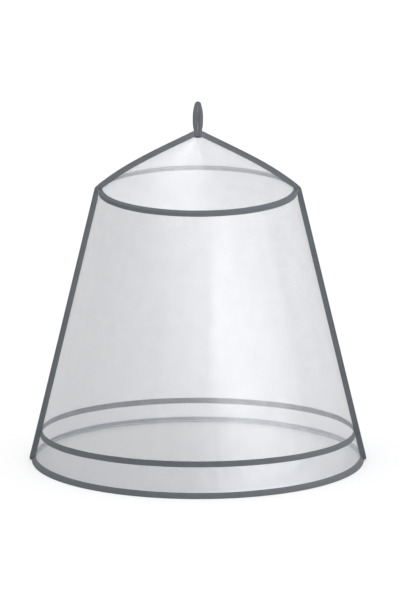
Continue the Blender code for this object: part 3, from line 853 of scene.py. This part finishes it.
def loop_course():
    """The loop's middle line and radius, from the left foot over the bend to the right foot."""
    foot = RING_Z + float(roof_height(TIP_RADIUS)) + LAYER + CLOTH / 2
    table = np.array(LOOP_LEGS) / 1000
    downs = np.concatenate([np.linspace(table[0, 0], table[-1, 0], 64), [LOOP_TOP_Z - foot]])

    def eased(column):
        slopes = np.gradient(table[:, column], table[:, 0])
        k = np.clip(np.searchsorted(table[:, 0], downs) - 1, 0, len(table) - 2)
        h = table[k + 1, 0] - table[k, 0]
        t = np.clip((downs - table[k, 0]) / h, 0, 1)
        return ((2 * t**3 - 3 * t**2 + 1) * table[k, column] + (t**3 - 2 * t**2 + t) * h * slopes[k]
                + (3 * t**2 - 2 * t**3) * table[k + 1, column] + (t**3 - t**2) * h * slopes[k + 1])

    spacing, size = eased(1), eased(2)
    spacing[-1], size[-1] = spacing[-2], size[-2]
    # the legs press together: their outer sides stay where they are and their inner sides meet
    outer = spacing + size
    size = (outer - LOOP_SLIT) / (ROLL_OUT + ROLL_IN)
    spacing = LOOP_SLIT + ROLL_IN * size
    bend_radius, bend_size = spacing[0], (LOOP_BEND + LOOP_TOP - spacing[0]) / ROLL_OUT
    left = [(-x, LOOP_TOP_Z - d, r) for x, d, r in zip(spacing, downs, size)][::-1]
    bend = []
    for a in np.linspace(180, 0, 41)[1:-1]:
        share = abs(90 - a) / 90
        bend.append((bend_radius * math.cos(math.radians(a)),
                     LOOP_TOP_Z - LOOP_TOP - LOOP_BEND + bend_radius * math.sin(math.radians(a)),
                     bend_size + (size[0] - bend_size) * share**2))
    right = [(-x, z, r) for x, z, r in left[::-1]]
    return np.array([*left, *bend, *right])


def make_loop():
    """Tape rolled lengthways into a strap: its section is a spiral whose outer edge shows as a step."""
    course = loop_course()
    centre = np.stack([course[:, 0], course[:, 1]], 1)
    tangent = np.gradient(centre, axis=0)
    tangent /= np.hypot(*tangent.T)[:, None]
    normal = np.stack([-tangent[:, 1], tangent[:, 0]], 1)      # out of the loop's eye
    run = np.concatenate([[0], np.cumsum(np.hypot(*np.diff(centre, axis=0).T))])
    sides = 40
    roll = np.arange(sides) / sides                             # once round the strap
    rows, texture = [], []
    for k in range(len(course)):
        size = course[k, 2]
        s = run[k]
        squeeze = math.exp(-((s - run[-1] / 2) / 0.022) ** 2)
        # the outer edge of the roll lies on the front, and wanders a little
        edge = math.radians(-72 + 10 * math.sin(s * 21 + 0.6))
        a = edge + roll * 2 * math.pi
        spiral = 1.0 - 0.085 * (1 - roll) ** 1.0 + 0.008 * np.sin(2 * a + 9 * s)
        step = np.where(roll < 0.045, -0.045, 0.0)
        crease = squeeze * 0.035 * math.sin(s * 900) * np.clip(-np.cos(a), 0, 1)
        rad = size * (spiral + step + crease) * (0.995 + 0.012 * math.sin(s * 55 + 1.3))
        n, y = rad * np.cos(a), rad * np.sin(a) * (LOOP_FLAT + 0.05 * squeeze)
        rows.append(np.stack([centre[k, 0] + normal[k, 0] * n, y, centre[k, 1] + normal[k, 1] * n], 1))
        texture.append([(s, (x - 0.5) * 0.074) for x in roll])
    bm = bmesh.new()
    uv = bm.loops.layers.uv.new("flat")
    verts = loft(bm, uv, rows, texture, wrap=True)
    cap(bm, uv, verts[0], False)
    cap(bm, uv, verts[-1], True)
    bmesh.ops.recalc_face_normals(bm, faces=bm.faces)
    obj = finish_mesh("hanging_loop_strap", bm, [LOOP_CLOTH], 45)
    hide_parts("hanging_loop")
    return obj, rows


def make_patch():
    """The round patch under the loop's feet: its edge is turned in, so it is thicker round its rim."""
    base = RING_Z + float(roof_height(TIP_RADIUS)) + LAYER
    azimuth = np.arange(96) * 2 * math.pi / 96
    edge = 0.0277 + 0.00025 * ringed(azimuth, 91, 9, 30, 5)
    profile = [(0.0, 0.40), (0.30, 0.42), (0.62, 0.46), (0.78, 0.62), (0.90, 0.70), (0.97, 0.52), (1.0, 0.0),
               (0.97, -0.50), (0.85, -0.62), (0.40, -0.60), (0.0, -0.60)]
    bm = bmesh.new()
    uv = bm.loops.layers.uv.new("flat")
    rows, texture = [], []
    for k, a in enumerate(azimuth):
        r = np.array([p[0] for p in profile]) * edge[k]
        z = np.array([p[1] for p in profile]) * TAPE / 1.3
        r[0] = r[-1] = 0.0004
        rows.append(np.stack([r * math.cos(a), r * math.sin(a), base + z], 1))
        texture.append([(x * math.cos(a), x * math.sin(a)) for x in r])
    loft(bm, uv, rows, texture, ring=True)
    for k in (0, -1):
        ring = sorted((v for v in bm.verts if abs(math.hypot(v.co.x, v.co.y) - 0.0004) < 2e-5 and abs(v.co.z - (base + profile[k][1] * TAPE / 1.3)) < 1e-6),
                      key=lambda v: math.atan2(v.co.y, v.co.x))
        cap(bm, uv, ring, k == 0)
    bmesh.ops.recalc_face_normals(bm, faces=bm.faces)
    obj = finish_mesh("tip_patch_disc", bm, [TAPE_CLOTH], 60)
    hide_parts("tip_patch")
    return obj


# ------------------------------------------------------------------ stitches
def stitch_row(out, points, outward, pitch, length, thick, seed):
    """Adds stitches along a line of points to out, a list of (vertices, faces). outward: away from the cloth."""
    points, outward = np.asarray(points, float), np.asarray(outward, float)
    step = np.linalg.norm(np.diff(points, axis=0), axis=1)
    run = np.concatenate([[0], np.cumsum(step)])
    rng = np.random.default_rng(seed)
    count = int(run[-1] / pitch)
    if count < 1:
        return
    start = (run[-1] - count * pitch) / 2 + pitch / 2
    for k in range(count):
        s = start + k * pitch
        ends_at = (s - length / 2, s + length / 2)
        a, b = (np.array([np.interp(e, run, points[:, d]) for d in range(3)]) for e in ends_at)
        n = np.array([np.interp(s, run, outward[:, d]) for d in range(3)])
        along = b - a
        along /= np.linalg.norm(along)
        n -= along * n.dot(along)
        n /= np.linalg.norm(n)
        w = np.cross(along, n)
        slant = w * rng.uniform(-0.12, 0.12) * length
        a, b = a - slant, b + slant
        vs = [a - n * thick * 0.35]
        for share in (0.22, 0.78):
            c = a + (b - a) * share + n * thick * 0.18
            vs += [c + n * thick * 0.5, c + w * thick * 0.5, c - n * thick * 0.6, c - w * thick * 0.5]
        vs.append(b - n * thick * 0.35)
        fs = [(0, 1 + i, 1 + (i + 1) % 4) for i in range(4)]
        fs += [(1 + i, 5 + i, 5 + (i + 1) % 4, 1 + (i + 1) % 4) for i in range(4)]
        fs += [(9, 5 + (i + 1) % 4, 5 + i) for i in range(4)]
        out.append((vs, fs))


def stitches(name, rows):
    """One joined mesh of the stitches in rows, each (points, outward, seed)."""
    made = []
    for points, outward, seed in rows:
        stitch_row(made, points, outward, 0.0052, 0.0038, 0.0009, seed)
    verts, faces = [], []
    for vs, fs in made:
        base = len(verts)
        verts += [tuple(v) for v in vs]
        faces += [tuple(base + i for i in f) for f in fs]
    data = bpy.data.meshes.new(name)
    data.from_pydata(verts, [], faces)
    data.update()
    for face in data.polygons:
        face.use_smooth = True
    obj = bpy.data.objects.new(name, data)
    bpy.context.scene.collection.objects.link(obj)
    data.materials.append(THREAD)
    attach(obj, "root")
    return obj


def round_row(r, z, out_r, out_z, seed, low=0.0, high=2 * math.pi, tilted=1.0):
    azimuth = np.linspace(low, high, 721)
    lift = seam_lift(azimuth, np.full_like(azimuth, z)) * tilted
    r = r - WALL_FLARE * lift
    points = np.stack([r * np.cos(azimuth), r * np.sin(azimuth), RING_Z + z + lift], 1)
    outward = np.stack([out_r * np.cos(azimuth), out_r * np.sin(azimuth), np.full_like(azimuth, out_z)], 1)
    return points, outward, seed


def all_stitches():
    made = []
    skin = LAYER + TAPE / 2
    # hem: a row near the tape's upper edge and one through its turned-in edge, seen on both faces
    hem = []
    for up, inner, seed in ((HEM_WIDTH - 0.0045, 0.0004, 71), (HEM_TURN - 0.0036, skin, 75)):
        z = HEM_Z - RING_Z + up
        hem.append(round_row(wall_radius(z) + skin / math.cos(HEM_TILT), z, *HEM_NORMAL, seed))
        hem.append(round_row(wall_radius(z) - inner / math.cos(HEM_TILT), z, -HEM_NORMAL[0], -HEM_NORMAL[1], seed + 2))
    made.append(stitches("hem_stitches", hem))
    # band tapes: a row near each of their edges, on both faces
    seam, rows = SEAM_Z - RING_Z, []
    clear = 0.008 / wall_radius(seam)
    for front in (-1, 1):
        start = math.pi if front < 0 else 0.0
        for k, off in enumerate((0.0153, -0.0153)):
            z = seam + off * math.cos(WALL_TILT)
            for face in (1, -1):
                rows.append(round_row(wall_radius(z) + face * skin * WALL_NORMAL[0], z + face * skin * WALL_NORMAL[1],
                                      face * WALL_NORMAL[0], face * WALL_NORMAL[1], 79 + k + front + 20 * face,
                                      start + clear, start + math.pi - clear))
    made.append(stitches("band_tape_stitches", rows))
    # tunnel: a row near each of its edges
    path, rows = tunnel_path(), []
    for k, (end, near, share) in enumerate(((0, 1, 0.0042), (-1, -2, 0.0042))):
        way = path[near] - path[end]
        way /= np.hypot(*way)
        out = np.array([-way[1], way[0]])
        out = out if out[0] > 0 else -out
        p = path[end] + way * share + out * TAPE / 2
        rows.append(round_row(p[0], p[1], out[0], out[1], 83 + k))
    made.append(stitches("hoop_tunnel_stitches", rows))
    # side seams: a row near the tape's edges, on both faces
    half, rows = SEAM_HALF + LAYER + TAPE / 2, []
    for side in (-1, 1):
        for face in (-1, 1):
            points, outward = [], []
            for base, out, edge, width, free in seam_stations():
                reach = edge + 0.0045
                y = face * half + seam_lean(base, side, free) * reach / SEAM_FIN
                points.append((side * (base[0] + out[0] * reach), y, RING_Z + base[1] + out[1] * reach))
                outward.append((0.0, face, 0.0))
            rows.append((points[1:-1], outward[1:-1], 89 + side * 2 + face))
    made.append(stitches("side_seam_stitches", rows))
    return made


# ------------------------------------------------------------------ build
nets = {
    "roof_front": make_roof(-1), "roof_back": make_roof(1),
    "wall_front": make_wall(-1), "wall_back": make_wall(1),
    "band_front": make_band(-1), "band_back": make_band(1),
}
hem = make_hem()
tunnel = make_tunnel()
band_tapes = [make_band_tape(front, face) for front in (-1, 1) for face in (1, -1)]
seams = [make_side_seam(-1), make_side_seam(1)]
hoop = make_hoop()
loop, loop_rows = make_loop()
patch = make_patch()
hem_stitches, band_stitches, tunnel_stitches, seam_stitches = all_stitches()

# ------------------------------------------------------------------ floor, light and camera
floor_mesh = bpy.data.meshes.new("floor")
floor_mesh.from_pydata([(-40, -40, 0), (40, -40, 0), (40, 40, 0), (-40, 40, 0)], [], [(0, 1, 2, 3)])
floor = bpy.data.objects.new("floor", floor_mesh)
floor.location = (0, 0, HEM_Z - 0.0012)
bpy.context.scene.collection.objects.link(floor)
floor_material, tree, shader = nodes_of("pale_floor")
shader.inputs["Base Color"].default_value = (0.60, 0.60, 0.60, 1)
shader.inputs["Roughness"].default_value = 0.9
shader.inputs["Specular IOR Level"].default_value = 0.0
floor_mesh.materials.append(floor_material)

world = bpy.data.worlds.new("studio")
bpy.context.scene.world = world
world.use_nodes = True
background = world.node_tree.nodes["Background"]
background.inputs["Color"].default_value = (0.98, 0.985, 1.0, 1)
background.inputs["Strength"].default_value = 1.0


def lit(name, pieces, state="INCLUDE"):
    """A set of pieces that a lamp lights alone, or passes by."""
    made = bpy.data.collections.new(name)
    for piece in pieces:
        made.objects.link(piece)
    for entry in made.collection_objects:
        entry.light_linking.link_state = state
    return made


# The floor is lit by the white surround and a broad light from above, so that it stays even: the lamps
# pass it by.
not_floor = lit("lit_by_lamps", [floor], "EXCLUDE")
far_side = lit("far_side", [nets["wall_back"], nets["band_back"]])
roof_nets = lit("roof_nets", [nets["roof_front"], nets["roof_back"]])
side_tapes = lit("side_tapes", [*seams, seam_stitches])
hem_tape = lit("hem_tape", [hem, hem_stitches])
band_far = lit("band_far", [band_tapes[3]])
low_tapes = lit("low_tapes", [hem, hem_stitches, band_tapes[0], band_stitches])


def area_light(name, place, target, size, power, up=None, lights=None):
    """A soft box. up: the way that its long side runs, where it isn't upright. lights: what it lights."""
    data = bpy.data.lights.new(name, "AREA")
    data.shape = "RECTANGLE"
    data.size, data.size_y = size
    data.energy = power
    obj = bpy.data.objects.new(name, data)
    bpy.context.scene.collection.objects.link(obj)
    obj.location = place
    back = (Vector(place) - Vector(target)).normalized()
    right = (Vector(up) if up else Vector((0, 0, 1))).cross(back).normalized()
    obj.rotation_euler = Matrix((right, back.cross(right), back)).transposed().to_euler()
    obj.visible_camera = False
    obj.light_linking.receiver_collection = lights or not_floor
    return obj


# a leaning strip draws the long highlight that drifts to the right down the wall, a fill and a rim lift
# its right side, and two boxes above light the roof
area_light("strip", (2.40, -4.00, -0.57), (0.25, -0.80, -1.35), (0.40, 2.72), 117.0, up=(-1.9, -0.6, 1.85))
area_light("fill", (5.5, -2.5, -0.6), (0, 0, -1.5), (2.5, 3.5), 154.0)
area_light("rim", (4.6, 1.8, -0.4), (0.6, 0, -1.5), (1.6, 3.2), 58.0)
area_light("overhead", (-0.45, 0.9, 1.6), (0.0, 0.0, -0.45), (0.9, 0.9), 12.9)
area_light("front_top", (-1.0, -2.6, 1.6), (0, 0, -0.45), (1.2, 1.2), 92.0)
sun_data = bpy.data.lights.new("floor_light", "SUN")
sun_data.angle = math.radians(35)
sun_data.energy = 2.4
sun = bpy.data.objects.new("floor_light", sun_data)
bpy.context.scene.collection.objects.link(sun)
sun.location = (0, 0, 3)
sun.light_linking.receiver_collection = lit("floor_alone", [floor])
# two low boxes lift the insides of the net's far half and of its roof, as a pale floor does, and four
# more lift tapes: the left seam, the hem's far half and left end, and the band's far left
for name, place, target, size, power, lights in (
        ("below", (0.8, -3.2, -4.4), (0.0, 0.6, -1.6), (3.2, 1.6), 110.0, far_side),
        ("under", (0.0, 2.4, -2.2), (0.0, 0.3, -0.45), (2.2, 0.9), 30.5, roof_nets)):
    area_light(name, place, target, size, power, lights=lights).light_linking.blocker_collection = not_floor
area_light("left", (-2.6, -3.2, -1.8), (-1.0, 0, -1.7), (1.0, 2.6), 90.0, lights=side_tapes)
area_light("hem_back", (0.6, -0.6, -2.1), (-0.8, 0.75, -2.45), (0.8, 0.3), 225.0, lights=hem_tape)
area_light("band_left", (-0.35, -0.1, -2.1), (-1.0, 0.45, -2.25), (0.5, 0.2), 12.5, lights=band_far)
area_light("hem_left", (-3.4, -1.4, -2.2), (-1.0, -0.3, -2.4), (1.0, 0.8), 38.0, lights=low_tapes)

ELEVATION = math.radians(13.6)
SCALE = 0.0068             # metres for one pixel of the picture
camera_data = bpy.data.cameras.new("camera")
camera_data.type = "ORTHO"
camera_data.ortho_scale = 601 * SCALE
camera_data.clip_end = 60
camera = bpy.data.objects.new("camera", camera_data)
bpy.context.scene.collection.objects.link(camera)
ahead = Vector((0, math.cos(ELEVATION), -math.sin(ELEVATION)))
aim = Vector((2.6 * SCALE, 0, RING_Z - 110.5 * SCALE / math.cos(ELEVATION)))
camera.location = aim - ahead * 9
camera.rotation_euler = ahead.to_track_quat("-Z", "Y").to_euler()
bpy.context.scene.camera = camera
bpy.context.scene.view_settings.view_transform = "Standard"
